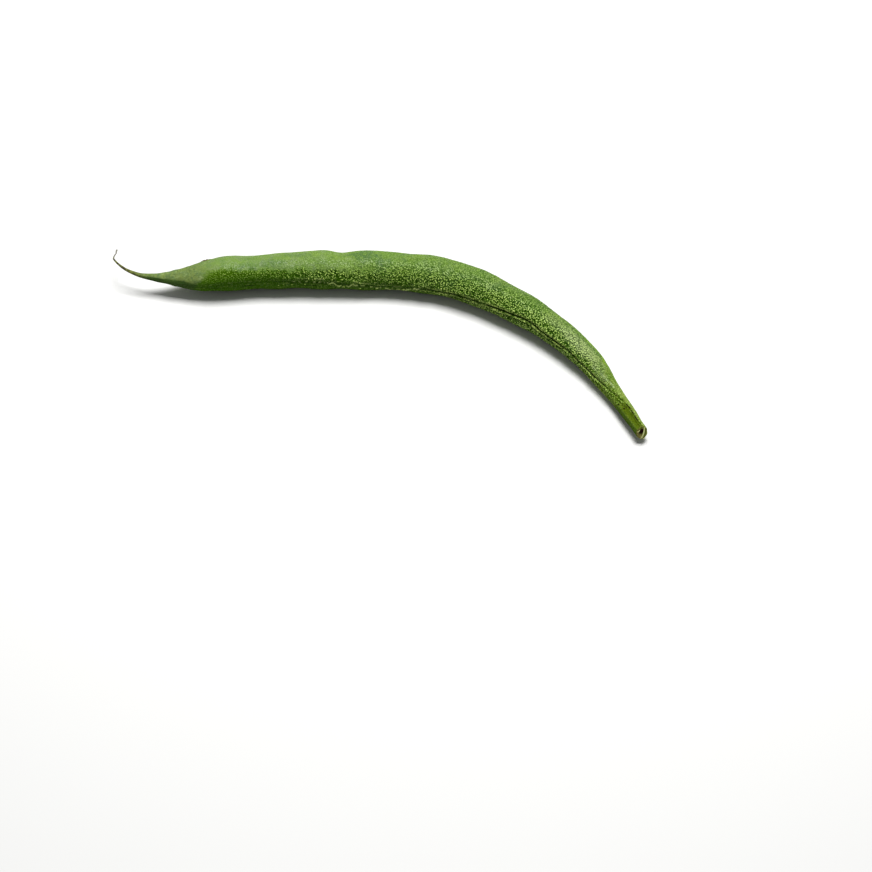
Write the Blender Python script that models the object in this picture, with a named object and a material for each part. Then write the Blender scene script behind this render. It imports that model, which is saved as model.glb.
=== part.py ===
"""A green bean as picked: one plump curved pod, lying on its side.

The pod is one solid. Its axis is laid out from the stem end to the dry tip of the beak by the
direction that it heads in, and an oval section is carried along it. The section has a furrowed
seam on its inner edge, a low ridge on its outer edge, and swells over each seed.
"""

import math

import bmesh
import bpy
import numpy as np

MM = 0.001

# Distances along the pod are counted from the stem end, in millimetres
POD_LENGTH = 155.0

# Seen from above: (distance, direction of the axis in degrees from +X)
BENDS = (
    (0, 117), (11, 117), (22, 121), (36, 132), (52, 144), (63, 155), (74, 169), (85, 178),
    (99, 180), (112, 184), (126, 189), (135, 182), (141, 175), (145.5, 157), (149, 135),
    (152.5, 105), (155, 80),
)

# Section before its seams and seeds: (distance, thickness across the valves, depth from seam to seam)
GIRTHS = (
    (0, 2.5, 2.7), (2.5, 3.1, 3.3), (6.5, 3.8, 4.1), (12, 4.2, 4.6), (18, 4.9, 5.3),
    (25, 6.0, 6.5), (34, 7.1, 7.8), (46, 8.1, 8.9), (60, 9.0, 9.8), (72, 9.4, 10.3),
    (88, 9.6, 10.5), (100, 9.6, 10.5), (110, 9.2, 10.1), (118, 8.6, 9.6), (124, 8.0, 9.1),
    (129, 6.3, 7.5), (134, 3.9, 4.8), (138.5, 2.1, 2.6), (142.5, 1.2, 1.4), (147, 0.9, 1.0),
    (151, 0.75, 0.8), (155, 0.6, 0.6),
)

# How far the inner seam is turned up from level: (distance, degrees)
ROLLS = (
    (0, 86), (6, 80), (13, 64), (22, 45), (32, 31), (42, 22), (56, 14), (70, 8), (84, 7),
    (98, 15), (114, 17), (126, 10), (134, 2), (155, 0),
)

# Gap between the plain section and the table, less than nothing where it lies flat: (distance, gap)
CLEARANCES = (
    (0, 1.4), (8, 0.6), (15, 0.15), (21, -0.1), (31, -0.1), (42, -0.15), (60, -0.25), (80, -0.38),
    (100, -0.38), (110, -0.25), (118, 0.0), (128, 0.9), (136, 2.4), (143, 3.7), (150, 5.2),
    (155, 6.6),
)

# Seeds under the skin: (distance of the middle, how far it lifts each valve), and the hollows between
SEEDS = (
    (33, 0.35), (46.5, 0.42), (60, 0.4), (73.5, 0.5), (87.5, 0.55), (99, 0.5), (110.5, 0.42),
    (122, 0.5),
)
SEED_HALF_LENGTH = 4.6
VALVE_HOLLOW = 0.64
SEED_FADE_AT_STEM = 14.0
SEED_FADE_AT_BEAK = 8.0

# Inner seam: a furrow between two lips, and the outer seam: one low ridge
FURROW_DEPTH = 0.26
FURROW_HALF_ANGLE = math.radians(4.5)
LIP_HEIGHT = 0.22
LIP_ANGLE = math.radians(11)
LIP_HALF_ANGLE = math.radians(6)
OUTER_RIDGE_HEIGHT = 0.2
OUTER_RIDGE_HALF_ANGLE = math.radians(9)
SEAM_FADE_GIRTH = 4.0

# Broken stem end: (share of the section there, distance along the pod) from the rim to the middle
SCAR_RINGS = ((0.93, 0.0), (0.74, 0.0), (0.58, 0.55), (0.3, 0.7), (0.0, 0.6))
SCAR_RIM_START = 0.3

# Tip of the beak: (share of the section there, distance past the last ring)
TIP_RINGS = ((0.75, 0.18), (0.0, 0.3))

RING_SPACING = 1.75
FINE_RING_SPACING = 1.1
STEM_FINE_LENGTH = 8.0
BEAK_FINE_START = 124.0
SIDES = 28
SEAM_CROWDING = 0.11
LAYOUT_STEP = 0.25
WELD_DISTANCE = 1e-6

SKIN_COLOUR = (0.105, 0.235, 0.035, 1.0)
SKIN_ROUGHNESS = 0.42


def clear_scene():
    """Removes every object, so that only the pod is left."""
    for thing in list(bpy.data.objects):
        bpy.data.objects.remove(thing, do_unlink=True)


def blend_stations(stations, column, distance):
    """Value of one column at each distance, on a smooth curve through the stations."""
    knots = np.array([row[0] for row in stations], float)
    values = np.array([row[column] for row in stations], float)
    slopes = np.gradient(values, knots)
    at = np.clip(distance, knots[0], knots[-1])
    i = np.clip(np.searchsorted(knots, at, side="right") - 1, 0, len(knots) - 2)
    width = knots[i + 1] - knots[i]
    t = (at - knots[i]) / width
    return (
        values[i] * (2 * t**3 - 3 * t**2 + 1)
        + slopes[i] * width * (t**3 - 2 * t**2 + t)
        + values[i + 1] * (3 * t**2 - 2 * t**3)
        + slopes[i + 1] * width * (t**3 - t**2)
    )


def lay_out_axis():
    """Distances along the pod and the plan position of its axis at each, in millimetres."""
    distance = np.arange(0.0, POD_LENGTH + LAYOUT_STEP, LAYOUT_STEP)
    middle = distance[:-1] + LAYOUT_STEP / 2
    heading = np.radians(blend_stations(BENDS, 1, middle))
    steps = LAYOUT_STEP * np.stack([np.cos(heading), np.sin(heading)], axis=1)
    plan = np.vstack([[0.0, 0.0], np.cumsum(steps, axis=0)])
    return distance, plan


def seed_swelling(distance):
    """How far the seeds lift each valve at this distance, with the hollows between them."""
    lift = -VALVE_HOLLOW
    for middle, height in SEEDS:
        lift += height * math.exp(-(((distance - middle) / SEED_HALF_LENGTH) ** 2))
    before = (distance - SEEDS[0][0]) / SEED_FADE_AT_STEM + 1
    past = (SEEDS[-1][0] - distance) / SEED_FADE_AT_BEAK + 1
    return lift * max(0.0, min(1.0, before, past))


def section_point(distance, angle):
    """Point of the skin in the section's own plane, from the axis.

    The first number runs towards the inner seam, the second across the valves. The angle is
    counted from the inner seam.
    """
    thickness = float(blend_stations(GIRTHS, 1, distance))
    depth = float(blend_stations(GIRTHS, 2, distance))
    out = np.array([math.cos(angle), math.sin(angle)])
    radius = 1 / math.hypot(out[0] / (depth / 2), out[1] / (thickness / 2))
    fade = min(1.0, thickness / SEAM_FADE_GIRTH)
    from_seam = math.remainder(angle, 2 * math.pi)
    from_ridge = math.remainder(angle - math.pi, 2 * math.pi)
    radius -= fade * FURROW_DEPTH * math.exp(-((from_seam / FURROW_HALF_ANGLE) ** 2))
    radius += fade * LIP_HEIGHT * math.exp(-(((abs(from_seam) - LIP_ANGLE) / LIP_HALF_ANGLE) ** 2))
    radius += fade * OUTER_RIDGE_HEIGHT * math.exp(-((from_ridge / OUTER_RIDGE_HALF_ANGLE) ** 2))
    radius += seed_swelling(distance) * abs(math.sin(angle)) ** 1.5
    return radius * out


def side_angle(side):
    """Angle of one side of the section, with the sides crowded at both seams."""
    share = side / SIDES
    return 2 * math.pi * share - SEAM_CROWDING * math.pi * math.sin(4 * math.pi * share)


def turned(point, roll):
    """The section point once the pod is rolled: (level offset towards the inner seam, height)."""
    c, s = math.cos(roll), math.sin(roll)
    return point[0] * c + point[1] * s, point[0] * s - point[1] * c


def ring_plan():
    """(distance, share of the section) for each ring, from the middle of the scar to the tip."""
    scar = [(inside, share) for share, inside in reversed(SCAR_RINGS)]
    stem = np.arange(SCAR_RIM_START, STEM_FINE_LENGTH, FINE_RING_SPACING)
    body = np.arange(STEM_FINE_LENGTH, BEAK_FINE_START, RING_SPACING)
    beak = np.arange(BEAK_FINE_START, POD_LENGTH - FINE_RING_SPACING / 2, FINE_RING_SPACING)
    skin = [(float(d), 1.0) for d in (*stem, *body, *beak, POD_LENGTH)]
    tip = [(POD_LENGTH + past, share) for share, past in TIP_RINGS]
    return scar + skin + tip


def place(distance, share, side, axis):
    """Point of the pod for one ring and side, in millimetres."""
    along, plan = axis
    on_skin = min(distance, POD_LENGTH)
    heading = math.radians(float(blend_stations(BENDS, 1, on_skin)))
    x = float(np.interp(on_skin, along, plan[:, 0])) + (distance - on_skin) * math.cos(heading)
    y = float(np.interp(on_skin, along, plan[:, 1])) + (distance - on_skin) * math.sin(heading)
    roll = math.radians(float(blend_stations(ROLLS, 1, on_skin)))
    half = float(blend_stations(GIRTHS, 1, on_skin)) / 2
    axis_height = half + float(blend_stations(CLEARANCES, 1, on_skin))
    level, height = turned(share * section_point(on_skin, side_angle(side)), roll)
    inner = heading + math.pi / 2
    return (
        x + level * math.cos(inner),
        y + level * math.sin(inner),
        max(0.0, axis_height + height),
    )


def build_pod_mesh():
    """A sheet rolled up into the pod, closed at both ends and set down about the origin."""
    rings = ring_plan()
    axis = lay_out_axis()
    bm = bmesh.new()
    bmesh.ops.create_grid(bm, x_segments=len(rings) - 1, y_segments=SIDES, size=1.0)
    for vertex in bm.verts:
        ring = round((vertex.co.x + 1) / 2 * (len(rings) - 1))
        side = round((vertex.co.y + 1) / 2 * SIDES) % SIDES
        distance, share = rings[ring]
        vertex.co = [value * MM for value in place(distance, share, side, axis)]
    bmesh.ops.remove_doubles(bm, verts=bm.verts, dist=WELD_DISTANCE)
    bmesh.ops.recalc_face_normals(bm, faces=bm.faces)
    corners = np.array([vertex.co for vertex in bm.verts])
    middle = (corners.min(axis=0) + corners.max(axis=0)) / 2
    bmesh.ops.translate(bm, verts=bm.verts, vec=(-middle[0], -middle[1], 0.0))
    bmesh.ops.triangulate(bm, faces=bm.faces)
    mesh = bpy.data.meshes.new("pod")
    bm.to_mesh(mesh)
    bm.free()
    mesh.shade_smooth()
    return mesh


def skin_material():
    """Waxy green skin."""
    material = bpy.data.materials.new("pod_skin")
    material.use_nodes = True
    shader = material.node_tree.nodes["Principled BSDF"]
    shader.inputs["Base Color"].default_value = SKIN_COLOUR
    shader.inputs["Roughness"].default_value = SKIN_ROUGHNESS
    shader.inputs["Metallic"].default_value = 0.0
    return material


def main():
    """Makes the one object of the scene."""
    clear_scene()
    mesh = build_pod_mesh()
    mesh.materials.append(skin_material())
    pod = bpy.data.objects.new("pod", mesh)
    bpy.context.scene.collection.objects.link(pod)


main()
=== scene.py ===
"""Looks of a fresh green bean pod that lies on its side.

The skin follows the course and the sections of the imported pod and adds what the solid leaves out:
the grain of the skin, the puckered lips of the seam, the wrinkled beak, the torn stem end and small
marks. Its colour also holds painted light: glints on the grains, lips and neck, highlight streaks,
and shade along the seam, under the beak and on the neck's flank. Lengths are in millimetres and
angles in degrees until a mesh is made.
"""

import logging
import math
from dataclasses import dataclass
from enum import Enum
from typing import Any, Union

import bmesh
import bpy
import numpy as np
from mathutils import Matrix, Vector, noise


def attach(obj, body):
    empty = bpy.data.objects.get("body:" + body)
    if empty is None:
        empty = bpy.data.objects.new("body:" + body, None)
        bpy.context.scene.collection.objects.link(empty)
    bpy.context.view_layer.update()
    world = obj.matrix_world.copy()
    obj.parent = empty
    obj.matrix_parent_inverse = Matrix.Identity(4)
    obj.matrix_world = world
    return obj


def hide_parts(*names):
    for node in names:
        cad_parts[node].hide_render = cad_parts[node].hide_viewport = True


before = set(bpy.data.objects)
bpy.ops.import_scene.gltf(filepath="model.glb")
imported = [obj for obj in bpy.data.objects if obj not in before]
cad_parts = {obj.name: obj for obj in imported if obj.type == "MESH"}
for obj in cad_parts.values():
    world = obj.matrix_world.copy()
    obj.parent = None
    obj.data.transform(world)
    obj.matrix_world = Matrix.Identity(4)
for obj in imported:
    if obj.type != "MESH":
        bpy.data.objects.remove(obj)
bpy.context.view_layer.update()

MM = 0.001
BODY = "root"
NODE = "pod"

Stations = tuple[tuple[float, ...], ...]
Pair = tuple[float, float]
Colour = tuple[float, float, float]
Field = np.ndarray
Socket = bpy.types.NodeSocket
Term = Union["Value", float]
log = logging.getLogger("green_bean")


def curve(stations: Stations, along: Field, column: int = 1) -> Field:
    """Reads one column of a station list at each distance, on a smooth curve.

    Args:
        stations: Rows that start with a distance along the pod.
        along: Distances along the pod.
        column: Which value of the rows to read.

    Returns:
        The value at each distance.
    """
    knots, values = np.array(stations, float)[:, [0, column]].T
    slopes = np.gradient(values, knots)
    at = np.clip(along, knots[0], knots[-1])
    i = np.clip(np.searchsorted(knots, at, side="right") - 1, 0, len(knots) - 2)
    width = knots[i + 1] - knots[i]
    t = (at - knots[i]) / width
    bow = width * t * (1 - t) * (slopes[i] * (1 - t) - slopes[i + 1] * t)
    return values[i] + (values[i + 1] - values[i]) * t * t * (3 - 2 * t) + bow


def ramp(low: float, high: float, value: Field) -> Field:
    """Rises smoothly from 0 at low to 1 at high, or falls if low is the larger."""
    t = np.clip((value - low) / (high - low), 0, 1)
    return t * t * (3 - 2 * t)


def hump(value: Field, half_width: float) -> Field:
    """A smooth hump of height 1 about zero."""
    return np.exp(-((value / half_width) ** 2))


def wrap(angle: Field) -> Field:
    """The same angle between -180 and 180 degrees."""
    return (angle + 180) % 360 - 180


def to_points(x: Field, y: Field, z: Field) -> Field:
    """Puts coordinates together as points, in a new last axis."""
    return np.stack(np.broadcast_arrays(x, y, z), axis=-1)


def noise_at(points: Field, size: float, seed: int) -> Field:
    """Smooth noise at each point.

    Args:
        points: Places in millimetres, with their coordinates in the last axis.
        size: Size of the noise's features, in millimetres.
        seed: Shifts the pattern, so that each use gets its own.

    Returns:
        Numbers from about -1 to 1, in the shape of the points without their last axis.
    """
    shift = Vector((7.31 * seed, -3.17 * seed, 5.73 * seed))
    flat = points.reshape(-1, 3) / size
    values = [noise.noise(Vector(place) + shift) for place in flat.tolist()]
    return np.array(values).reshape(points.shape[:-1])


def line_noise(along: Field, size: float, seed: int) -> Field:
    """Smooth noise along a line, from about -1 to 1 at each distance."""
    return noise_at(to_points(along, 0, 0), size, seed)


def add_object(name: str, data: bpy.types.ID) -> bpy.types.Object:
    """Puts an object with this data into the scene, at the origin."""
    made = bpy.data.objects.new(name, data)
    bpy.context.scene.collection.objects.link(made)
    return made


def to_mesh(bm: bmesh.types.BMesh, name: str) -> bpy.types.Mesh:
    """Turns a bmesh into a mesh with smooth faces."""
    mesh = bpy.data.meshes.new(name)
    bm.to_mesh(mesh)
    bm.free()
    mesh.shade_smooth()
    return mesh


class Mark(Enum):
    """Kinds of mark on the skin, by the name of their attribute."""

    BRUISE = "bruise"
    SCUFF = "scuff"
    FLECK = "fleck"
    SCAB = "scab"
    # Painted highlight: bright streaks of light on the neck and the arm
    GLOW = "highlight_streak"
    PALE = "pale"


@dataclass(frozen=True)
class PodForm:
    """Course and plain sections of the pod, as in its solid.

    The rows of each list start with a distance from the stem end. After it come the direction that
    the pod heads in, its thickness and depth, how far the inner seam is turned up, the gap to the
    table, or how far a seed lifts each valve.
    """

    length: float = 155.0
    bends: Stations = (
        (0, 117), (11, 117), (22, 121), (36, 132), (52, 144), (63, 155), (74, 169), (85, 178), (99, 180),
        (112, 184), (126, 189), (135, 182), (141, 175), (145.5, 157), (149, 135), (152.5, 105), (155, 80),
    )
    girths: Stations = (
        (0, 2.5, 2.7), (2.5, 3.1, 3.3), (6.5, 3.8, 4.1), (12, 4.2, 4.6), (18, 4.9, 5.3), (25, 6, 6.5),
        (34, 7.1, 7.8), (46, 8.1, 8.9), (60, 9, 9.8), (72, 9.4, 10.3), (88, 9.6, 10.5), (100, 9.6, 10.5),
        (110, 9.2, 10.1), (118, 8.6, 9.6), (124, 8, 9.1), (129, 6.3, 7.5), (134, 3.9, 4.8),
        (138.5, 2.1, 2.6), (142.5, 1.2, 1.4), (147, 0.9, 1), (151, 0.75, 0.8), (155, 0.6, 0.6),
    )
    rolls: Stations = (
        (0, 86), (6, 80), (13, 64), (22, 45), (32, 31), (42, 22), (56, 14), (70, 8), (84, 7), (98, 15),
        (114, 17), (126, 10), (134, 2), (155, 0),
    )
    clearances: Stations = (
        (0, 1.4), (8, 0.6), (15, 0.15), (21, -0.1), (31, -0.1), (42, -0.15), (60, -0.25), (80, -0.38),
        (100, -0.38), (110, -0.25), (118, 0), (128, 0.9), (136, 2.4), (143, 3.7), (150, 5.2), (155, 6.6),
    )
    seeds: Stations = (
        (33, 0.35), (46.5, 0.42), (60, 0.4), (73.5, 0.5), (87.5, 0.55), (99, 0.5), (110.5, 0.42),
        (122, 0.5),
    )
    seed_half_length: float = 4.6
    valve_hollow: float = 0.64
    seed_fade_at_stem: float = 14.0
    seed_fade_at_beak: float = 8.0
    furrow_depth: float = 0.26
    furrow_half_angle: float = 4.5
    lip_height: float = 0.22
    lip_angle: float = 11.0
    lip_half_angle: float = 6.0
    outer_ridge_height: float = 0.2
    outer_ridge_half_angle: float = 9.0
    seam_fade_girth: float = 4.0
    layout_step: float = 0.25
    plan_middle: Pair = (-62.768, 28.403)

    def course(self) -> tuple[Field, Field]:
        """Lays the pod's middle line out.

        Returns:
            Distances along the pod, and the plan position of the line at each.
        """
        along = np.arange(0, self.length + self.layout_step, self.layout_step)
        middle = along[:-1] + self.layout_step / 2
        heading = np.radians(curve(self.bends, middle))
        steps = self.layout_step * np.stack([np.cos(heading), np.sin(heading)], axis=1)
        return along, np.vstack([[0, 0], np.cumsum(steps, axis=0)])

    def swelling(self, along: Field) -> Field:
        """How far the seeds lift each valve, less the hollows between them."""
        lift = np.full(np.shape(along), -self.valve_hollow)
        for middle, height in self.seeds:
            lift = lift + height * hump(along - middle, self.seed_half_length)
        before = (along - self.seeds[0][0]) / self.seed_fade_at_stem + 1
        past = (self.seeds[-1][0] - along) / self.seed_fade_at_beak + 1
        return lift * np.clip(np.minimum(before, past), 0, 1)

    def thickness(self, along: Field) -> Field:
        """Thickness across the valves, before the seeds."""
        return curve(self.girths, along)

    def seam_fade(self, along: Field) -> Field:
        """How fully the seams show: 1 on the body, less where the pod is thin."""
        return np.minimum(1, self.thickness(along) / self.seam_fade_girth)

    def plain_radius(self, along: Field, angle: Field) -> Field:
        """Distance of the skin from the middle line, without its seams' furrow and lips.

        Args:
            along: Distances along the pod.
            angle: Angles from the inner seam.

        Returns:
            The radius at each pair of distance and angle.
        """
        thickness = self.thickness(along)
        depth = curve(self.girths, along, 2)
        turn = np.radians(angle)
        oval = 1 / np.hypot(np.cos(turn) / (depth / 2), np.sin(turn) / (thickness / 2))
        ridge = self.outer_ridge_height * hump(wrap(angle - 180), self.outer_ridge_half_angle)
        seeds = self.swelling(along) * np.abs(np.sin(turn)) ** 1.5
        return oval + self.seam_fade(along) * ridge + seeds

    def place(self, along: Field, angle: Field, radius: Field) -> Field:
        """Puts points of the skin in place.

        Args:
            along: Distances along the pod; past its ends it goes on straight.
            angle: Angles from the inner seam.
            radius: Distances from the middle line.

        Returns:
            The points, with x, y and z in the last axis.
        """
        knots, plan = self.course()
        on_skin = np.clip(along, 0, self.length)
        heading = np.radians(curve(self.bends, on_skin))
        roll = np.radians(curve(self.rolls, on_skin))
        height = self.thickness(on_skin) / 2 + curve(self.clearances, on_skin)
        turn = np.radians(angle)
        to_seam = radius * np.cos(turn)
        across = radius * np.sin(turn)
        level = to_seam * np.cos(roll) + across * np.sin(roll)
        rise = to_seam * np.sin(roll) - across * np.cos(roll)
        past = along - on_skin
        x = np.interp(on_skin, knots, plan[:, 0]) + past * np.cos(heading)
        y = np.interp(on_skin, knots, plan[:, 1]) + past * np.sin(heading)
        x = x - level * np.sin(heading) - self.plan_middle[0]
        y = y + level * np.cos(heading) - self.plan_middle[1]
        return to_points(x, y, height + rise)


@dataclass(frozen=True)
class SkinRelief:
    """Fine relief of the skin, in millimetres over the plain form."""

    form: PodForm = PodForm()
    grain_size: float = 0.64
    grain_height: float = 0.12
    swell_size: float = 6.5
    swell_height: float = 0.12
    # Angle of the edge of the pale bloom over the deep green along the seam; that deep green is partly the
    # pod's own colour and partly painted shade
    pale_edges: Stations = (
        (0, -31), (84, -42), (90, -37), (97, -37), (105, -31), (114, -36), (121, -43), (125, -52),
        (127, -47), (128.5, -33), (129.6, -14), (130.4, 10), (132, 45), (155, 60),
    )
    # Angle of the lacy lower lip, and of the upper edge of the painted shade under the beak
    ridge_angles: Stations = (
        (0, 4), (66, 4), (73.8, 9), (79, 20), (84, 18), (89, 12), (94, 14), (99, 8), (104, 7), (112, 4),
        (155, 4),
    )
    beak_shade_edges: Stations = (
        (0, 0), (128, -6), (131.4, -19), (132.7, -26), (136, -34), (138.3, -41), (145, -50), (155, -54),
    )
    dimple_size: float = 2.3
    dimple_height: float = 0.06
    pucker_size: float = 1.3
    pucker_share: float = 0.95
    furrow_wander: float = 2.6
    furrow_wander_size: float = 8.0
    # Where the arm and the belly begin, from nothing to full, as distances along the pod
    arm_start: Pair = (13.0, 18.0)
    belly_start: Pair = (62.0, 76.0)
    # Angle of the furrow, which leaves the inner edge on the neck
    furrow_angles: Stations = (
        (0, -10), (3.8, -9.5), (5.9, -12), (7.5, -14), (9.5, -6), (12, 4), (14, 11), (16.3, 16),
        (21.2, 17), (24.4, 16), (29, 8), (33, 7), (38, 2), (41, -5), (49, 0), (155, 0),
    )
    crease_angle: float = 10.5
    crease_half_angle: float = 2.6
    crease_depth: float = 0.12
    ridge_height: float = 0.14
    rib_count: int = 9
    rib_height: float = 0.05
    rib_end: float = 26.0
    # Girth of the neck against the plain form's, and how far its middle line is moved outwards
    neck_girths: Stations = (
        (0, 1.12), (1.2, 1.03), (3, 0.89), (6, 0.86), (14, 0.88), (20, 0.96), (28, 0.99), (38, 1),
        (155, 1),
    )
    neck_moves: Stations = (
        (0, 0.08), (3, 0.18), (6, 0.36), (14, 0.68), (20, 0.86), (30, 0.8), (38, 0.55), (46, 0.25),
        (54, 0), (60, 0), (155, 0),
    )
    # Swellings and hollows of the outline: (distance, angle, half length, half angle, height)
    bulges: Stations = (
        (130.5, -100, 7.5, 60, 0.3), (112, -130, 5, 44, -0.42), (101, -130, 6, 44, -0.16),
        (94.3, -124, 2.6, 46, -0.48), (87, -130, 5, 40, -0.2), (77.6, -126, 4.3, 46, -0.44),
        (38, -122, 8, 40, 0.12), (24.5, -112, 5.5, 38, 0.5),
    )
    wrinkle_start: float = 126.0
    wrinkle_size: float = 1.5
    wrinkle_share: float = 0.12
    style_start: float = 142.0
    style_share: float = 0.55
    style_wobble: float = 0.16
    # How far the style is pushed to its left, with a sharp kink
    kink: Stations = ((145.5, 0), (151.7, 0.72), (153.6, -0.2), (155, -0.05))
    style_lift: Stations = (
        (0, 0), (126, 0), (131, 0.05), (135, 0.4), (139, 0.62), (145, 0.6), (151.7, 0.25), (155, -1.2),
    )
    scar_lean: float = 0.7
    rim_tear: float = 0.22
    rim_end: float = 1.6
    scab_height: float = 0.3

    def girth_share(self, along: Field) -> Field:
        """Girth against the plain form's: the neck and the style are slimmer."""
        slim = (1 - self.style_share) * ramp(self.style_start, self.kink[1][0], along)
        tip = 1 + 0.15 * ramp(151, 152.5, along) - 0.3 * ramp(153.6, 154.8, along)
        return curve(self.neck_girths, along) - slim * tip

    def outline(self, along: Field, angle: Field) -> Field:
        """Radius of the skin with its broad forms, before any fine relief."""
        radius = self.form.plain_radius(along, angle) * self.girth_share(along)
        for middle, middle_angle, half_length, half_angle, height in self.bulges:
            around = hump(wrap(angle - middle_angle), half_angle)
            radius = radius + height * hump(along - middle, half_length) * around
        return radius

    def grain(self, points: Field) -> Field:
        """Height of the skin's small grains, from 0 between them to 1 on their tops."""
        flat = points.reshape(-1, 3) / self.grain_size
        nearest = [noise.voronoi(Vector(place))[0][:2] for place in flat.tolist()]
        gaps = np.array(nearest).reshape(*points.shape[:-1], 2)
        return ramp(0, 0.5, gaps[..., 1] - gaps[..., 0])

    def seam_side_and_shade(self, along: Field, from_furrow: Field) -> Field:
        """How far the skin belongs to the deep green side by the seam, which is partly the pod's own
        deeper green and partly painted shade.

        Args:
            along: Distances along the pod.
            from_furrow: Angles from the furrow.

        Returns:
            1 by the seam and 0 over the valves, with a sharp edge towards the beak.
        """
        places = to_points(along, 0.087 * from_furrow, 0)
        ragged = noise_at(places, 1.5, 16) + noise_at(places * np.array([1, 0.5, 1]), 0.6, 17)
        edge = curve(self.pale_edges, along) + 9 * ragged
        reach = 8 + 8 * ramp(122, 127, along)
        sharp = ramp(-reach, reach, from_furrow - edge) * ramp(110, 70, from_furrow)
        return sharp + (hump(from_furrow, 62) - sharp) * ramp(98, 78, along)

    def grain_strength(self, along: Field, seam_side_and_shade: Field) -> Field:
        """How strong the grain is: most beside the seam and towards the neck."""
        over_valves = 0.2 + 0.24 * ramp(88, 56, along)
        fades = ramp(134, 118, along) * (1 - 0.55 * ramp(100, 116, along))
        return (over_valves + (1 - over_valves) * seam_side_and_shade) * fades

    def furrow_middle(self, along: Field) -> Field:
        """Angle of the furrow's middle, which wanders a little."""
        wander = ramp(12, 30, along) * line_noise(along, self.furrow_wander_size, 3)
        return curve(self.furrow_angles, along) + self.furrow_wander * wander

    def furrow(self, along: Field, from_furrow: Field) -> Field:
        """Depth of the furrow as a share of its plain depth."""
        uneven = 0.85 + 0.6 * line_noise(along, 2.9, 11)
        half_angle = self.form.furrow_half_angle * (0.85 + 0.4 * line_noise(along, 4.7, 12))
        return np.clip(uneven, 0.25, 1.3) * hump(from_furrow / half_angle, 1)

    def line_share(self, along: Field) -> Field:
        """How deep the furrow is and how dark its painted shade is: most along the arm, least on the belly
        and the neck.
        """
        arm = ramp(80, 66, along) * ramp(*self.arm_start, along)
        return 0.3 * ramp(114, 100, along) + 0.7 * arm

    def ridge(self, along: Field, from_lace: Field) -> Field:
        """Strength of the lacy pale line along the seam on the belly, partly pale colour and partly a
        painted highlight, and of a thread above it.
        """
        waver = 7.5 * line_noise(along, 1.3, 18) + 3.5 * line_noise(along, 0.6, 19)
        dashes = ramp(-0.2, 0.1, line_noise(along, 0.6, 20))
        belly = ramp(*self.belly_start, along) * ramp(116, 96, along)
        thread = ramp(-0.1, 0.3, line_noise(along, 2.4, 24)) * hump(from_lace + 11 - 0.4 * waver, 1.8)
        return belly * np.maximum(dashes * hump(from_lace - waver, 2), 0.6 * thread)

    def shade_below_seam(self, along: Field, from_lace: Field) -> Field:
        """How far the skin belongs to the smooth side below the seam on the belly, which is painted dark
        as shade.
        """
        around = ramp(3, 10, from_lace) * ramp(95, 60, from_lace)
        return around * ramp(*self.belly_start, along) * ramp(132, 124, along)

    def crease(self, along: Field, from_furrow: Field) -> Field:
        """Strength of the broken crease along the lip below the furrow, which is darkened with painted
        shade.
        """
        middle = self.crease_angle + 2.2 * line_noise(along, 5, 13)
        broken = ramp(-0.25, 0.15, line_noise(along, 6, 14)) * ramp(14, 21, along)
        return broken * hump(from_furrow - middle, self.crease_half_angle)

    def lips(self, along: Field, from_furrow: Field) -> Field:
        """Height of both lips as a share of their plain height, with their puckers."""
        side = np.where(from_furrow < 0, 1, -1)
        places = to_points(along, 2.4 * side, 0.06 * from_furrow)
        coarse = noise_at(places, self.pucker_size * 1.6, 5)
        fine = noise_at(places, self.pucker_size * 0.6, 6)
        humps = hump(np.abs(from_furrow) - self.form.lip_angle, self.form.lip_half_angle)
        humps = humps * (0.3 + 0.7 * ramp(118, 100, along))
        return humps * (1 + self.pucker_share * (1.2 * coarse + 0.9 * fine))

    def ribs(self, along: Field, angle: Field) -> Field:
        """Fine ribs that run along the neck."""
        ripples = np.cos(np.radians(self.rib_count * (angle + 14 * line_noise(along, 9, 8))))
        return self.rib_height * ramp(self.rib_end, 6, along) * ripples

    def tear(self, angle: Field) -> Field:
        """How far the rim of the broken stem end stands out at each angle."""
        turn = np.radians(angle)
        ring = to_points(np.cos(turn), np.sin(turn), 0)
        uneven = 0.7 * noise_at(ring, 0.5, 31) + 0.5 * noise_at(ring, 0.2, 32)
        return self.rim_tear * (0.4 + uneven)


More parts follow.
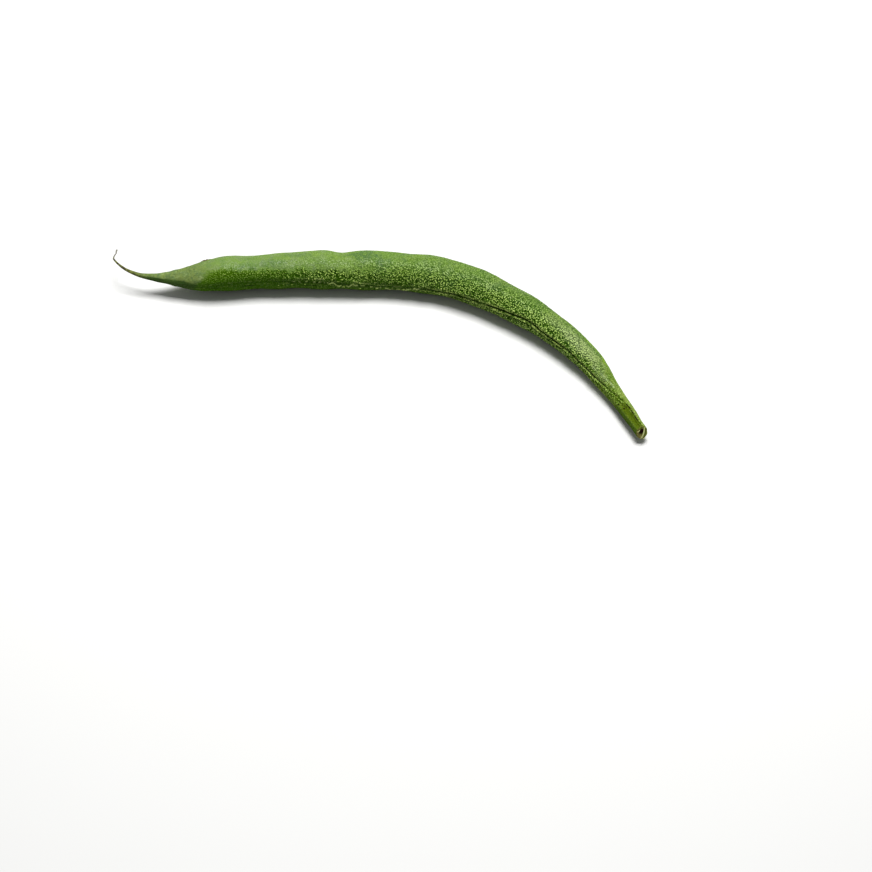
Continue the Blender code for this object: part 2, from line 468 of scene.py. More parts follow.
@dataclass(frozen=True)
class PodSkin:
    """The whole skin of the pod: its fine mesh with the attributes that its finish reads."""

    form: PodForm = PodForm()
    relief: SkinRelief = SkinRelief()
    sides: int = 122
    seam_crowding: float = 0.035
    neck_spacing: float = 0.2
    neck_end: float = 20.0
    body_spacing: float = 0.192
    beak_start: float = 128.0
    beak_spacing: float = 0.225
    # Broken stem end, from its middle out: (step, share of the section, distance into the pod)
    scar: Stations = (
        (0, 0, 1.3), (1, 0.26, 1.3), (2, 0.42, 1), (3, 0.58, 0.6), (4, 0.76, 0.5), (5, 0.93, 0.52),
        (6, 1, 0.74),
    )
    scar_rings: int = 20
    tip: Stations = ((0, 1, 0), (1, 0.8, 0.16), (2, 0.45, 0.27), (3, 0, 0.3))
    tip_rings: int = 8
    map_strips: int = 3
    map_margin: float = 0.004
    weld_distance: float = 0.0005
    # Marks of each kind: (distance of the middle, its angle, half length, half width, strength)
    marks: tuple[tuple[Mark, Stations], ...] = (
        (Mark.BRUISE, (
            (88.5, -90, 4.2, 2.4, 0.85), (84, -66, 2.4, 1.4, 0.6), (105, -84, 3.2, 1.2, 0.45),
            (132, -96, 3.4, 1.6, 0.5), (62, 128, 3.6, 2, 0.5), (112, 104, 2.8, 1.6, 0.5),
            (110.5, -50, 3.6, 1.4, 0.5), (117, -84, 2.4, 0.8, 0.3), (93.6, -82, 1, 0.5, 0.6),
            (96.4, -70, 0.8, 0.4, 0.6), (25.5, -85, 3.8, 0.35, 0.7),
        )),
        (Mark.SCUFF, (
            (107, -44, 1.8, 0.5, 0.35), (128.9, -34, 1, 0.35, 0.7), (92.4, -70, 1.2, 0.3, 0.5),
            (18, -16, 4, 1, 0.3), (20.8, -12, 1.1, 0.32, 0.8), (18.1, -19, 1.7, 0.42, 0.9),
            (15.1, -25, 1.6, 0.3, 0.9), (70.5, 150, 1.6, 0.7, 0.6),
        )),
        (Mark.PALE, ((27, -46, 7.5, 2.1, 0.85), (35, -60, 6, 1.6, 0.4))),
        # Painted highlight streaks on the neck and the arm
        (Mark.GLOW, (
            (21.2, -103, 2.8, 1.1, 1), (26, -103, 5.2, 0.5, 0.75), (16, -90, 3.6, 0.8, 0.55),
        )),
        (Mark.SCAB, (
            (127.2, -128, 1.1, 0.7, 1), (17, -8, 1.1, 0.32, 0.38), (18.6, -10, 0.6, 0.3, 0.36),
        )),
        (Mark.FLECK, (
            (9.5, 29, 0.4, 0.22, 0.9), (7.7, 22, 0.4, 0.22, 0.9), (8.1, -12, 0.5, 0.18, 1),
            (7.1, -14, 0.5, 0.18, 1), (5.7, -12, 0.6, 0.17, 1), (3.8, -10, 0.95, 0.22, 1),
            (55, 170, 0.5, 0.3, 0.8),
        )),
    )

    def ring_plan(self) -> tuple[Field, Field]:
        """Plans the rings from the middle of the broken stem end to the tip of the beak.

        Returns:
            The distance of each ring along the pod, and its share of the section there.
        """
        scar_steps = np.linspace(0, self.scar[-1][0], self.scar_rings)
        scar_share = np.clip(curve(self.scar, scar_steps), 0, 1)
        scar_at = curve(self.scar, scar_steps, 2)
        neck = np.arange(scar_at[-1] + self.neck_spacing, self.neck_end, self.neck_spacing)
        body = np.arange(self.neck_end, self.beak_start, self.body_spacing)
        beak = np.arange(self.beak_start, self.form.length, self.beak_spacing)
        tip_steps = np.linspace(0, self.tip[-1][0], self.tip_rings)
        tip_share = np.clip(curve(self.tip, tip_steps), 0, 1)
        tip_at = self.form.length + curve(self.tip, tip_steps, 2)
        at = np.concatenate([scar_at, neck, body, beak, tip_at])
        whole = np.ones(len(neck) + len(body) + len(beak))
        return at, np.concatenate([scar_share, whole, tip_share])

    def side_angles(self) -> Field:
        """Angle of each side, with the sides a little closer together at both seams."""
        share = np.arange(self.sides) / self.sides
        return 360 * share - 180 * self.seam_crowding * np.sin(4 * math.pi * share)

    def mark_fields(self, along: Field, angle: Field, points: Field) -> dict[Mark, Field]:
        """Works out how strong each kind of mark is over the skin, with ragged edges.

        Args:
            along: Distances along the pod.
            angle: Angles from the inner seam.
            points: Where the noise is read.

        Returns:
            The strength by kind of mark.
        """
        fine = noise_at(points, 0.32, 23)
        ragged = 0.75 * noise_at(points, 0.9, 21) + 0.45 * noise_at(points, 2.6, 22)
        radius = self.form.thickness(along) / 2
        fields = {kind: np.zeros(points.shape[:-1]) for kind in Mark}
        for kind, rows in self.marks:
            rough = 0.8 * fine if kind in (Mark.FLECK, Mark.SCAB) else 0.5 * ragged
            for middle, middle_angle, half_length, half_width, strength in rows:
                off = np.radians(wrap(angle - middle_angle)) * radius
                reach = rough + np.hypot((along - middle) / half_length, off / half_width)
                fields[kind] = np.maximum(fields[kind], strength * ramp(1.25, 0.55, reach))
        return fields

    def shape(self) -> tuple[Field, dict[str, Field]]:
        """Works the whole skin out on its rings and sides.

        Returns:
            The points in millimetres, and the attributes by name, some of them one to a ring.
        """
        form, relief = self.form, self.relief
        along, share = (column[:, None] for column in self.ring_plan())
        angle = self.side_angles()[None, :]
        turn = np.radians(angle)
        radius = relief.outline(along, angle)
        straight = to_points(along, share * radius * np.cos(turn), share * radius * np.sin(turn))

        turned = wrap(angle)
        from_furrow = wrap(angle - relief.furrow_middle(along))
        from_lace = turned - curve(relief.ridge_angles, along)
        near_seam_and_shade = relief.seam_side_and_shade(along, from_furrow)
        shade_below_seam = relief.shade_below_seam(along, from_lace)
        fade = form.seam_fade(along)
        line_share = relief.line_share(along)
        furrow = relief.furrow(along, from_furrow) * fade * (0.25 + 0.75 * line_share)
        ridge = relief.ridge(along, from_lace) * fade
        crease = relief.crease(along, from_furrow) * fade
        lips = relief.lips(along, from_furrow) * fade
        grain = relief.grain(straight * np.array([1.12, 0.9, 0.9]))
        marks = self.mark_fields(along, angle, straight)

        body = ramp(4, 30, along) * ramp(136, 124, along)
        smooth = ramp(10.5, 7, along)
        strength = relief.grain_strength(along, near_seam_and_shade) * (1 - 0.6 * shade_below_seam)
        strength = strength * (1 - 0.85 * smooth * hump(turned - 12, 26))
        grains = relief.grain_height * strength * (grain - 0.5) * (0.4 + 0.6 * body)
        swells = relief.swell_height * noise_at(straight, relief.swell_size, 1)
        dimples = relief.dimple_height * noise_at(straight, relief.dimple_size, 2)
        creases = noise_at(straight * np.array([0.8, 1.6, 1.6]), relief.wrinkle_size, 4)
        wrinkles = ramp(relief.wrinkle_start, 140, along) * relief.wrinkle_share * radius * creases
        scabs = relief.scab_height * marks[Mark.SCAB] * (0.5 + 0.5 * grain)
        seam = form.lip_height * lips - form.furrow_depth * furrow - relief.crease_depth * crease
        fine = body * (swells + dimples) + grains + wrinkles + relief.ribs(along, angle) + scabs
        full = share * (radius + seam + relief.ridge_height * ridge + ramp(0.9, 1, share) * fine)

        rim = ramp(relief.rim_end, 0, along) * ramp(0.3, 0.8, share)
        lean = relief.scar_lean * share * np.cos(turn) * ramp(3, 0, along)
        points = form.place(along + rim * relief.tear(angle) + lean, angle, full)
        points += self.course_shift(along)
        points[..., 2] = np.maximum(0, points[..., 2])

        on_arm = 0.15 + 0.85 * ramp(78, 62, along)
        past_neck = 0.35 + 0.65 * ramp(11, 20, along)
        to_shade_edge = turned - curve(relief.beak_shade_edges, along)
        at_end = ramp(3, 2, along)
        attributes = {
            "grain": grain,
            "grain_strength": strength,
            "furrow": hump(from_furrow, 3.1) * ramp(*relief.arm_start, along) * fade,
            "neck_smooth": smooth * ramp(-20, -12, turned) * ramp(46, 30, turned),
            # Painted shade on the neck's flank
            "neck_flank_shade": ramp(16, 8, along) * ramp(40, 62, turned),
            "neck_lip": ramp(17, 12.5, along) * ramp(-14, -23, turned) * ramp(-150, -110, turned),
            "shade_below_seam": shade_below_seam,
            "line_share": line_share,
            "ridge": ridge,
            # Painted highlight along the edges of both lips
            "lip_edge_highlight": hump(np.abs(from_furrow) - 5.6, 2) * fade * on_arm * ramp(12, 22, along),
            "crease": crease,
            "outer_seam": hump(wrap(angle - 180), 8) * fade,
            "lip": np.clip(lips, 0, 2),
            "seam_side_and_shade": near_seam_and_shade,
            # Painted shade: a deep green band along both sides of the furrow
            "shade_beside_seam": hump(from_furrow, 24) * (0.62 + 0.33 * ramp(66, 80, along)) * past_neck,
            "towards_beak": ramp(84, 112, along),
            # Painted shade under the beak
            "shade_under_beak": ramp(-6, 6, to_shade_edge) * ramp(115, 85, turned) * ramp(124, 129, along),
            "neck": ramp(30, 4, along),
            "beak": ramp(122, 131, along) * (1 - near_seam_and_shade * ramp(136, 130, along)),
            "style": ramp(139, 150, along),
            "tip": ramp(150, 153, along),
            "wound": ramp(1, 0.93, share) * at_end,
            "hollow": ramp(0.52, 0.4, share - 0.08 * np.cos(np.radians(angle + 30))) * at_end,
            "wound_side": ramp(-0.3, 0.6, np.cos(np.radians(angle - 110))) * at_end,
            **{kind.value: field for kind, field in marks.items()},
        }
        return points, attributes

    def course_shift(self, along: Field) -> Field:
        """How far the neck and the dry style stray from the plain course, as x, y and z at each ring."""
        relief = self.relief
        on_skin = np.minimum(along, self.form.length)
        reach = relief.style_wobble * ramp(relief.style_start - 3, 148, along)
        stray = np.stack([line_noise(on_skin, 2.6, 41 + axis) for axis in range(3)], axis=-1)
        heading = np.radians(curve(self.form.bends, on_skin))
        sideways = to_points(-np.sin(heading), np.cos(heading), 0)
        out = np.interp(on_skin, *zip(*relief.kink)) - curve(relief.neck_moves, on_skin)
        shift = reach[..., None] * stray + out[..., None] * sideways
        shift[..., 2] += curve(relief.style_lift, on_skin)
        return shift

    def build(self) -> bpy.types.Object:
        """Rolls a sheet up into the skin.

        Returns:
            The skin, closed at both ends, with its attributes and its map.
        """
        points, attributes = self.shape()
        rings = len(points)
        sheet = bmesh.new()
        bmesh.ops.create_grid(sheet, x_segments=rings - 1, y_segments=self.sides, size=1)
        mesh = to_mesh(sheet, "bean_skin")
        flat = np.empty(len(mesh.vertices) * 3)
        mesh.vertices.foreach_get("co", flat)
        cell = (flat.reshape(-1, 3)[:, :2] + 1) / 2 * np.array([rings - 1, self.sides])
        ring, side = np.rint(cell).astype(int).T
        self.lay_map(mesh, ring, side)
        mesh.vertices.foreach_set("co", (points[ring, side % self.sides] * MM).ravel())
        for name, field in attributes.items():
            values = np.broadcast_to(field, points.shape[:2])[ring, side % self.sides]
            layer = mesh.attributes.new(name, "FLOAT", "POINT")
            layer.data.foreach_set("value", values.astype(np.float32))
        rolled = bmesh.new()
        rolled.from_mesh(mesh)
        bmesh.ops.remove_doubles(rolled, verts=rolled.verts, dist=self.weld_distance * MM)
        bmesh.ops.recalc_face_normals(rolled, faces=rolled.faces)
        rolled.to_mesh(mesh)
        rolled.free()
        mesh.shade_smooth()
        return add_object("bean_skin", mesh)

    def lay_map(self, mesh: bpy.types.Mesh, ring: Field, side: Field) -> None:
        """Gives the flat sheet a map that is cut into strips, so that it fills a square.

        Args:
            mesh: The sheet.
            ring: Ring number of each vertex.
            side: Side number of each vertex.
        """
        corner = np.empty(len(mesh.loops), int)
        mesh.loops.foreach_get("vertex_index", corner)
        corner_ring = ring[corner].reshape(-1, 4)
        strip_length = math.ceil(ring.max() / self.map_strips)
        strip = corner_ring.min(axis=1, keepdims=True) // strip_length
        inside = 1 - 2 * self.map_margin
        u = self.map_margin + inside * (corner_ring - strip * strip_length) / strip_length
        v = self.map_margin + inside * side[corner].reshape(-1, 4) / self.sides
        places = np.stack([u, (strip + v) / self.map_strips], axis=-1)
        layer = mesh.uv_layers.new(name="OFBake")
        layer.uv.foreach_set("vector", places.astype(np.float32).ravel())


class Value:
    """A number in a material, for which Python's operators add Math nodes."""

    def __init__(self, graph: "Graph", socket: Socket) -> None:
        """Wraps a socket of the graph's material."""
        self.graph = graph
        self.socket = socket

    def math(self, operation: str, *terms: Term) -> "Value":
        """Adds one Math node that takes these terms.

        Args:
            operation: The node's operation.
            terms: Its inputs, in order.

        Returns:
            The node's result.
        """
        node = self.graph.add("ShaderNodeMath", {"operation": operation}, dict(enumerate(terms)))
        return Value(self.graph, node.outputs[0])

    def __add__(self, other: Term) -> "Value":
        """Sum."""
        return self.math("ADD", self, other)

    __radd__ = __add__

    def __sub__(self, other: Term) -> "Value":
        """Difference."""
        return self.math("SUBTRACT", self, other)

    def __rsub__(self, other: float) -> "Value":
        """Difference from a number."""
        return self.math("SUBTRACT", other, self)

    def __mul__(self, other: Term) -> "Value":
        """Product."""
        return self.math("MULTIPLY", self, other)

    __rmul__ = __mul__

    def clamped(self) -> "Value":
        """The value, kept between 0 and 1."""
        return self.math("MINIMUM", self.math("MAXIMUM", self, 0), 1)

    def rising(self, low: float, high: float) -> "Value":
        """Smooth step from 0 at low to 1 at high."""
        settings = {"interpolation_type": "SMOOTHSTEP"}
        sockets = {"Value": self, "From Min": low, "From Max": high}
        return Value(self.graph, self.graph.add("ShaderNodeMapRange", settings, sockets).outputs["Result"])


Feed = Union[Value, Socket, float, Colour]
Layer = tuple[Term, Feed]


class Graph:
    """The nodes of one material."""

    def __init__(self, name: str) -> None:
        """Makes the material with an empty node tree."""
        self.material = bpy.data.materials.new(name)
        self.material.use_nodes = True
        self.tree = self.material.node_tree
        self.tree.nodes.clear()
        self.coordinates = self.add("ShaderNodeTexCoord", {}, {}).outputs["Object"]

    def add(self, kind: str, settings: dict[str, Any], sockets: dict[Any, Feed]) -> bpy.types.Node:
        """Adds one node.

        Args:
            kind: The node's type.
            settings: Its properties, which are set first.
            sockets: What its inputs hold or are linked to, by name or number.

        Returns:
            The node.
        """
        node = self.tree.nodes.new(kind)
        for name, setting in settings.items():
            setattr(node, name, setting)
        for name, feed in sockets.items():
            source = feed.socket if isinstance(feed, Value) else feed
            target = node.inputs[name]
            if isinstance(source, Socket):
                self.tree.links.new(source, target)
            else:
                target.default_value = (*source, 1) if target.type == "RGBA" else source
        return node

    def __getitem__(self, name: str) -> Value:
        """Reads one of the mesh's attributes."""
        return Value(self, self.add("ShaderNodeAttribute", {"attribute_name": name}, {}).outputs["Fac"])

    def noise(self, size: float, detail: float = 3.0, rough: float = 0.6, pull: float = 0.0) -> Value:
        """Adds a noise pattern that is fixed to the piece.

        Args:
            size: Size of its features, in millimetres.
            detail: How many finer octaves it has.
            rough: How strong those are.
            pull: How far its features are pulled about.

        Returns:
            Noise from 0 to 1, about 0.5 on the whole.
        """
        pattern = {"Scale": 1 / (size * MM), "Detail": detail, "Roughness": rough, "Distortion": pull}
        node = self.add("ShaderNodeTexNoise", {}, {"Vector": self.coordinates, **pattern})
        return Value(self, node.outputs["Fac"])

    def cells(self, size: float) -> Value:
        """Adds cells of this size, in millimetres, as the distance from each cell's middle."""
        sockets = {"Vector": self.coordinates, "Scale": 1 / (size * MM)}
        return Value(self, self.add("ShaderNodeTexVoronoi", {}, sockets).outputs["Distance"])

    def lay(self, under: Feed, *layers: Layer) -> Socket:
        """Lays colours over each other.

        Args:
            under: The lowest colour.
            layers: How much of each further colour shows, and that colour, from below upwards.

        Returns:
            The mixed colour.
        """
        settings = {"data_type": "RGBA", "clamp_factor": True}
        for factor, over in layers:
            under = self.add("ShaderNodeMix", settings, {0: factor, 6: under, 7: over}).outputs[2]
        return under

    def bump(self, height: Value, reach: float) -> Socket:
        """Turns a height pattern into a normal, where 1 stands this many millimetres out."""
        sockets = {"Height": height, "Strength": 1, "Distance": reach * MM}
        return self.add("ShaderNodeBump", {}, sockets).outputs["Normal"]

    def finish(self, sockets: dict[str, Feed]) -> bpy.types.Material:
        """Ends the graph in a Principled shader.

        Args:
            sockets: What the shader's inputs hold or are linked to.

        Returns:
            The finished material.
        """
        shader = self.add("ShaderNodeBsdfPrincipled", {}, sockets)
        self.add("ShaderNodeOutputMaterial", {}, {"Surface": shader.outputs["BSDF"]})
        return self.material


@dataclass(frozen=True)
class SkinFinish:
    """Fresh green skin with its grain, seams, marks, broken stem end and dry beak."""

    # Deep green by the seam, partly the pod's own colour and partly painted shade
    deep_green_and_shade: Colour = (0.026, 0.076, 0.002)
    mid_green: Colour = (0.106, 0.21, 0.022)
    leaf_green: Colour = (0.146, 0.252, 0.026)
    bloom: Colour = (0.166, 0.232, 0.092)
    pale_green: Colour = (0.3, 0.385, 0.15)
    shade_green: Colour = (0.07, 0.14, 0.045)
    low_green_and_shade: Colour = (0.048, 0.112, 0.001)
    # Painted glints on the grains' tops, and painted shade in the pits between them
    grain_glint_green: Colour = (0.74, 1.0, 0.25)
    grain_pit_shade_green: Colour = (0.003, 0.022, 0.0001)
    # Painted shade in the furrow and the crease
    furrow_shade_green: Colour = (0.008, 0.024, 0.001)
    # Painted highlights on the lips' puckers and along their edges
    lip_highlight_green: Colour = (0.66, 0.84, 0.22)
    # Pale lacy ridge, partly its own colour and partly a painted highlight
    ridge_pale_and_highlight: Colour = (0.48, 0.61, 0.19)
    # Own green of the outer seam, also used for the painted highlight streaks
    outer_green_and_highlight: Colour = (0.21, 0.37, 0.016)
    neck_green: Colour = (0.12, 0.2, 0.01)
    # Painted shade on the neck's flank
    flank_shade_green: Colour = (0.04, 0.08, 0.005)
    neck_olive: Colour = (0.07, 0.106, 0.003)
    # Pale pebbles along the neck's rim, partly their own colour and partly painted highlight
    pebble_and_glint_green: Colour = (0.35, 0.47, 0.125)
    neck_yellow: Colour = (0.3, 0.34, 0.05)
    neck_brown: Colour = (0.11, 0.085, 0.014)
    bruise_green: Colour = (0.052, 0.114, 0.034)
    scuff_grey: Colour = (0.34, 0.42, 0.21)
    fleck_black: Colour = (0.012, 0.01, 0.004)
    scab_brown: Colour = (0.06, 0.036, 0.016)
    beak_green: Colour = (0.15, 0.202, 0.054)
    beak_blue: Colour = (0.074, 0.13, 0.05)
    # Dark mottle of the beak, and painted shade under it
    beak_dark_and_shade: Colour = (0.018, 0.046, 0.006)
    style_olive: Colour = (0.15, 0.165, 0.04)
    style_dark: Colour = (0.04, 0.034, 0.018)
    tip_grey: Colour = (0.18, 0.17, 0.145)
    wound_pale: Colour = (0.19, 0.24, 0.04)
    wound_beige: Colour = (0.22, 0.19, 0.06)
    wound_brown: Colour = (0.09, 0.055, 0.014)
    hollow_dark: Colour = (0.045, 0.014, 0.01)
    grain_size: float = 0.34
    puff_size: float = 0.62

    def body(self, graph: Graph) -> list[Layer]:
        """Turns the middle green into the green of the pod with its grain, painted glints on the grains'
        tops, painted shade in the pits between them and painted shade by the seam.

        Args:
            graph: The material's nodes.

        Returns:
            The layers over the middle green.
        """
        seam_side_and_shade = graph["seam_side_and_shade"]
        to_beak = graph["towards_beak"]
        strength = graph["grain_strength"]
        mottle = graph.noise(1.7, pull=0.6)
        cells = graph.cells(self.grain_size)
        veil = (1 - seam_side_and_shade) * (mottle.rising(0.4, 0.7) * 0.5 + 0.35) * (to_beak * 0.4 + 0.6)
        dim = graph.noise(4.2, pull=0.8).rising(0.5, 0.72) * 0.55 + mottle.rising(0.56, 0.7) * 0.2
        # Painted glints: bright specks on the grains' tops
        tops = (1 - cells.rising(0.2, 0.46)) * graph.noise(0.22, 1, 0.5).rising(0.36, 0.5)
        on_arm = graph["shade_beside_seam"] * graph["line_share"]
        return [
            (graph.noise(9, rough=0.55, pull=0.4).rising(0.35, 0.68), self.leaf_green),
            (veil, self.bloom),
            (dim, self.shade_green),
            # Painted shade: the seam side is laid deep green, partly as the pod's own colour and partly as
            # shade
            (seam_side_and_shade * (to_beak * 0.6 + 0.3), graph.lay(self.deep_green_and_shade, (to_beak, self.low_green_and_shade))),
            (graph["pale"] * 0.9, self.pale_green),
            # Painted shade: the smooth side below the seam on the belly is laid deep green
            (graph["shade_below_seam"] * 0.8, self.deep_green_and_shade),
            # Painted glints on the grains' tops and painted shade in their pits, strongest by the seam
            (tops * strength * (seam_side_and_shade * 0.64 + on_arm * 1.5 + 0.4), self.grain_glint_green),
            (cells.rising(0.44, 0.66) * strength, self.grain_pit_shade_green),
        ]

    def neck(self, graph: Graph) -> list[Layer]:
        """Turns the neck yellower, with stains, painted shade on its flank and pale pebbles, partly
        painted glints, on its rim.

        Args:
            graph: The material's nodes.

        Returns:
            The layers over the colour before.
        """
        neck = graph["neck"]
        pebble_glints = 1 - graph.cells(self.puff_size).rising(0.2, 0.42)
        return [
            (neck * 0.6, self.neck_green),
            (neck * graph.noise(1.5, pull=0.5).rising(0.5, 0.68) * 0.5, self.neck_yellow),
            (neck * graph.noise(2.2, 4, 0.65, 1.2).rising(0.57, 0.7) * 0.6, self.neck_brown),
            # Painted shade on the neck's flank
            (graph["neck_flank_shade"] * 0.8, self.flank_shade_green),
            (graph["neck_smooth"] * 0.85, self.neck_olive),
            # Pale pebbles on the neck's rim, partly painted highlight
            (graph["neck_lip"] * (pebble_glints * 0.65 + 0.25), self.pebble_and_glint_green),
        ]

    def seams(self, graph: Graph) -> list[Layer]:
        """Lays the seams, with their lips, furrow and crease, over the green, with painted highlights on
        the lips and the lacy ridge and painted shade in and beside the furrow.

        Args:
            graph: The material's nodes.

        Returns:
            The layers over the colour before.
        """
        edge = graph.noise(1.4).rising(0.44, 0.58)
        ragged = graph.noise(0.6, rough=0.7).rising(0.47, 0.58)
        # Painted highlight streaks, laid with the outer seam's green
        highlight_streak = graph["highlight_streak"] * (edge * 0.5 + 0.35)
        outer_and_highlight = (graph["outer_seam"] * edge * 0.6 + highlight_streak).clamped()
        pucker_highlights = graph["lip"].rising(0.3, 1.1) * (1 - graph.cells(self.puff_size).rising(0.14, 0.34))
        # Painted shade along the furrow, in broken stretches
        line = graph["furrow"].rising(0.3, 0.8) * graph["line_share"]
        return [
            (outer_and_highlight * 0.85, self.outer_green_and_highlight),
            # Painted shade along both sides of the furrow
            (graph["shade_beside_seam"], self.deep_green_and_shade),
            # Painted highlights on the lips' puckers and along their edges
            (pucker_highlights * 0.9, self.lip_highlight_green),
            (graph["lip_edge_highlight"] * ragged * 0.8, self.lip_highlight_green),
            # Lacy ridge, partly pale colour and partly a painted highlight
            (graph["ridge"].rising(0.15, 0.7) * 0.9, self.ridge_pale_and_highlight),
            # Painted shade in the crease and the furrow
            (graph["crease"].rising(0.35, 0.9) * 0.85, self.furrow_shade_green),
            (line * graph.noise(2.6).rising(0.34, 0.46), self.furrow_shade_green),
        ]

    def beak(self, graph: Graph) -> Socket:
        """The mottled green of the drying beak, with painted shade under it."""
        return graph.lay(
            self.beak_green,
            (graph.noise(1.4, 4, 0.65, 0.6).rising(0.42, 0.64) * 0.7, self.beak_blue),
            (graph.noise(0.8, 3, 0.65, 0.5).rising(0.52, 0.72) * 0.45, self.beak_dark_and_shade),
            (graph.noise(0.9, 2, 0.6, 0.8).rising(0.52, 0.72) * 0.35, self.pale_green),
            # Painted shade under the beak
            (graph["shade_under_beak"] * 0.9, self.beak_dark_and_shade),
        )

    def wound(self, graph: Graph) -> Socket:
        """The pale, browning flesh of the broken stem end."""
        return graph.lay(
            self.wound_pale,
            (graph.noise(0.4).rising(0.42, 0.6) * 0.7, self.wound_brown),
            (graph["wound_side"] * 0.8, self.wound_beige),
            (graph["hollow"], self.hollow_dark),
        )

    def colour(self, graph: Graph) -> Socket:
        """Lays all the colours over each other.

        Args:
            graph: The material's nodes.

        Returns:
            The skin's colour.
        """
        scuffed = graph.noise(0.34, rough=0.7).rising(0.44, 0.56) * 0.65 + 0.12
        dry = graph.lay(self.style_olive, (graph.noise(1.1).rising(0.4, 0.6), self.style_dark))
        return graph.lay(
            self.mid_green,
            *self.body(graph),
            *self.neck(graph),
            *self.seams(graph),
            (graph["bruise"] * graph.noise(0.9).rising(0.3, 0.6) * 0.85, self.bruise_green),
            (graph["scuff"] * scuffed, self.scuff_grey),
            (graph["beak"] * 0.9, self.beak(graph)),
            (graph["style"].rising(0, 0.85), dry),
            (graph["tip"], self.tip_grey),
            (graph["wound"], self.wound(graph)),
            (graph["scab"].rising(0.15, 1), self.scab_brown),
            (graph["fleck"].rising(0.2, 0.6), self.fleck_black),
        )

    def material(self) -> bpy.types.Material:
        """Makes the skin's material."""
        graph = Graph("bean_skin")
        cells = graph.cells(self.grain_size)
        dull = graph["style"] * 0.25 + graph["scuff"] * 0.2
        rough = graph.noise(1.3) * 0.2 + 0.4 + dull - graph["grain"] * 0.08
        grains = (1 - cells) * (graph["grain_strength"] + 0.3)
        waxy = (0.62 - graph["seam_side_and_shade"] * 0.42) * (1 - graph["neck"] * 0.8)
        waxy = waxy * (1 - graph["wound"]) * (1 - graph["beak"] * 0.5)
        gloss = (1 - cells.rising(0.25, 0.5)) * waxy
        return graph.finish({
            "Base Color": self.colour(graph),
            "Roughness": rough.clamped(),
            "Normal": graph.bump(graph.noise(0.2, 2) * 0.3 + grains, 0.3),
            "IOR": 1.42,
            "Specular IOR Level": 0,
            "Coat Weight": gloss.clamped(),
            "Coat Roughness": 0.42,
            "Coat IOR": 1.42,
            "Subsurface Weight": 0.05,
            "Subsurface Radius": (1, 1.2, 0.3),
            "Subsurface Scale": 0.5 * MM,
        })


@dataclass(frozen=True)
class FibreFinish:
    """Pale torn fibre of the broken stem end."""

    pale: Colour = (0.5, 0.54, 0.22)
    brown: Colour = (0.22, 0.16, 0.05)

    def material(self) -> bpy.types.Material:
        """Makes the fibre's material."""
        graph = Graph("torn_fibre")
        streak = graph.noise(0.3)
        return graph.finish({
            "Base Color": graph.lay(self.pale, (streak.rising(0.5, 0.7), self.brown)),
            "Roughness": streak * 0.2 + 0.6,
            "Specular IOR Level": 0.15,
            "Normal": graph.bump(streak, 0.06),
        })


@dataclass(frozen=True)
class TornFibres:
    """Torn strands on the broken stem end."""

    skin: PodSkin = PodSkin()
    sections: int = 13
    sides: int = 8
    sunk: float = 0.12
    # Each strand: (angle, share of the section, the same at its end, bow aside, lift, radius)
    strands: Stations = (
        (-38, 0.9, 146, 0.9, 0.06, 0.3, 0.16), (-78, 0.93, -136, 0.88, 0.04, 0.12, 0.08),
        (62, 0.92, 22, 0.62, 0.05, 0.14, 0.07), (188, 0.94, 160, 0.66, -0.05, 0.16, 0.1),
    )

    def strand(self, bm: bmesh.types.BMesh, path: Field, radius: float) -> None:
        """Adds one strand that narrows towards both ends.

        Args:
            bm: The mesh that it goes into.
            path: Points from its root to its tip.
            radius: Its radius at its thickest.
        """
        girth = np.sqrt(np.sin(math.pi * np.linspace(0.06, 0.97, len(path))))
        first = {"cap_ends": True, "segments": self.sides, "radius": radius * girth[0]}
        ring = bmesh.ops.create_circle(bm, **first)["verts"]
        heading = Vector(path[1] - path[0])
        aim = heading.to_track_quat("Z", "Y").to_matrix().to_4x4()
        bmesh.ops.transform(bm, matrix=Matrix.Translation(path[0]) @ aim, verts=ring)
        face = ring[0].link_faces[0]
        for step in range(1, len(path)):
            face = bmesh.ops.extrude_discrete_faces(bm, faces=[face])["faces"][0]
            centre = face.calc_center_median()
            course = Vector(path[step] - path[step - 1])
            turn = heading.rotation_difference(course)
            growth = girth[step] / girth[step - 1]
            for vertex in face.verts:
                vertex.co = Vector(path[step]) + turn @ (vertex.co - centre) * growth
            heading = course

    def build(self) -> bpy.types.Object:
        """Makes the strands as one piece."""
        form, relief = self.skin.form, self.skin.relief
        bm = bmesh.new()
        t = np.linspace(0, 1, self.sections)
        arch = np.sin(math.pi * t)
        on_rim = np.zeros_like(t)
        for start_angle, start_share, end_angle, end_share, bow, lift, radius in self.strands:
            # Points over the section as complex numbers, with the inner seam at 1
            start = start_share * np.exp(1j * math.radians(start_angle))
            chord = end_share * np.exp(1j * math.radians(end_angle)) - start
            course = start + chord * t + 1j * chord / abs(chord) * bow * arch
            angle = np.degrees(np.angle(course))
            out = (lift + self.sunk) * arch**0.6 - self.sunk
            at = self.skin.scar[4][2] + relief.scar_lean * course.real - out
            reach = np.abs(course) * form.plain_radius(on_rim, angle) * relief.girth_share(on_rim)
            path = form.place(at, angle, reach) + self.skin.course_shift(on_rim)
            self.strand(bm, path * MM, radius * MM)
        bmesh.ops.recalc_face_normals(bm, faces=bm.faces)
        return add_object("stem_fibres", to_mesh(bm, "stem_fibres"))


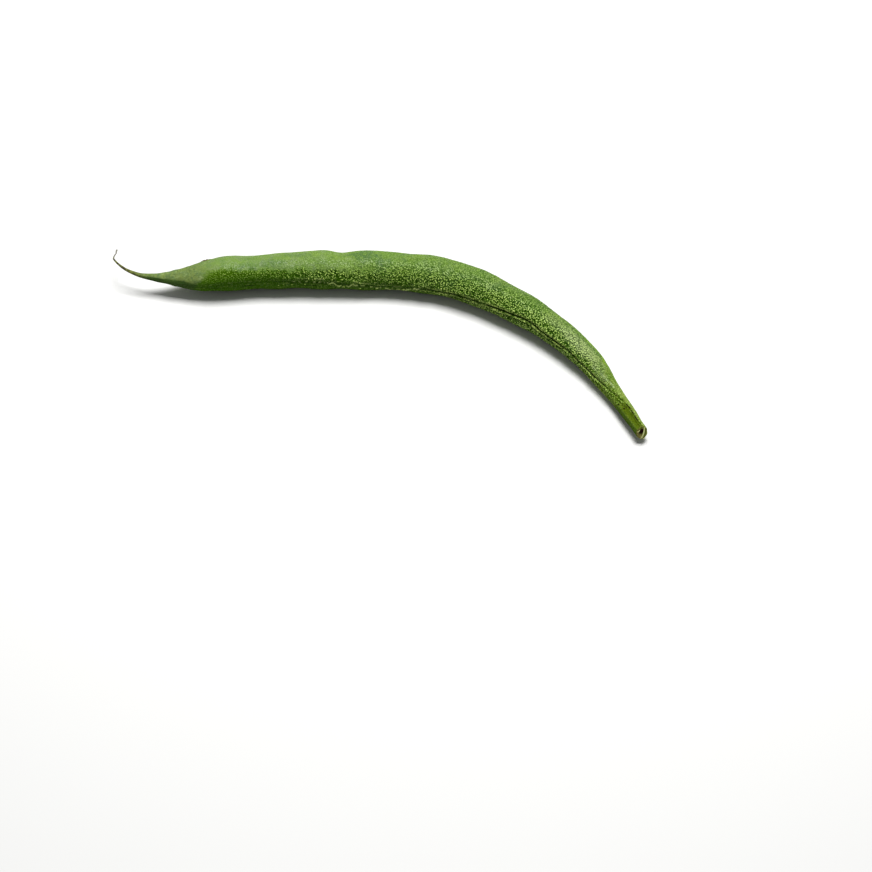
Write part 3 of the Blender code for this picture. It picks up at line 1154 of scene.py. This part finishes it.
@dataclass(frozen=True)
class Studio:
    """Pale floor, soft light from above and behind, and the camera."""

    floor_size: float = 3000.0
    floor_grey: Colour = (0.66, 0.66, 0.65)
    sky: Colour = (1.0, 1.0, 1.0)
    sky_strength: float = 0.24
    lamp_place: tuple[float, float, float] = (40.0, 150.0, 550.0)
    lamp_size: float = 300.0
    lamp_watts: float = 5.4
    camera_aim: tuple[float, float, float] = (15.71, -30.77, 5.0)
    camera_distance: float = 381.95
    camera_elevation: float = 50.0
    lens: float = 70.0
    sensor: float = 36.0

    def lay_floor(self) -> None:
        """Adds the floor."""
        bm = bmesh.new()
        bmesh.ops.create_grid(bm, x_segments=1, y_segments=1, size=self.floor_size / 2 * MM)
        mesh = to_mesh(bm, "floor")
        mesh.materials.append(Graph("floor").finish({"Base Color": self.floor_grey, "Roughness": 0.7}))
        add_object("floor", mesh)

    def light(self) -> None:
        """Sets the sky, and one square softbox that faces the pod."""
        world = bpy.data.worlds.new("studio")
        world.use_nodes = True
        background = world.node_tree.nodes["Background"]
        background.inputs["Color"].default_value = (*self.sky, 1)
        background.inputs["Strength"].default_value = self.sky_strength
        bpy.context.scene.world = world
        softbox = bpy.data.lights.new("key", "AREA")
        softbox.shape = "SQUARE"
        softbox.size = self.lamp_size * MM
        softbox.energy = self.lamp_watts
        lamp = add_object("key", softbox)
        lamp.location = Vector(self.lamp_place) * MM
        lamp.rotation_euler = (-Vector(self.lamp_place)).to_track_quat("-Z", "Y").to_euler()
        bpy.context.scene.view_settings.view_transform = "Standard"

    def set_camera(self) -> None:
        """Adds the camera."""
        data = bpy.data.cameras.new("camera")
        data.lens = self.lens
        data.sensor_width = self.sensor
        camera = add_object("camera", data)
        tilt = math.radians(self.camera_elevation)
        back = Vector((0, -math.cos(tilt), math.sin(tilt)))
        camera.location = (Vector(self.camera_aim) + back * self.camera_distance) * MM
        camera.rotation_euler = (-back).to_track_quat("-Z", "Y").to_euler()
        bpy.context.scene.camera = camera


def main() -> None:
    """Builds the pod and its studio, and reports each piece."""
    logging.basicConfig(level=logging.INFO, format="%(name)s: %(message)s")
    skin = PodSkin().build()
    skin.data.materials.append(SkinFinish().material())
    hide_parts(NODE)
    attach(skin, BODY)
    fibres = TornFibres().build()
    fibres.data.materials.append(FibreFinish().material())
    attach(fibres, BODY)
    for piece in (skin, fibres):
        log.info("%s: %d faces", piece.name, len(piece.data.polygons))
    studio = Studio()
    studio.set_camera()
    studio.lay_floor()
    studio.light()


if __name__ == "__main__":
    main()
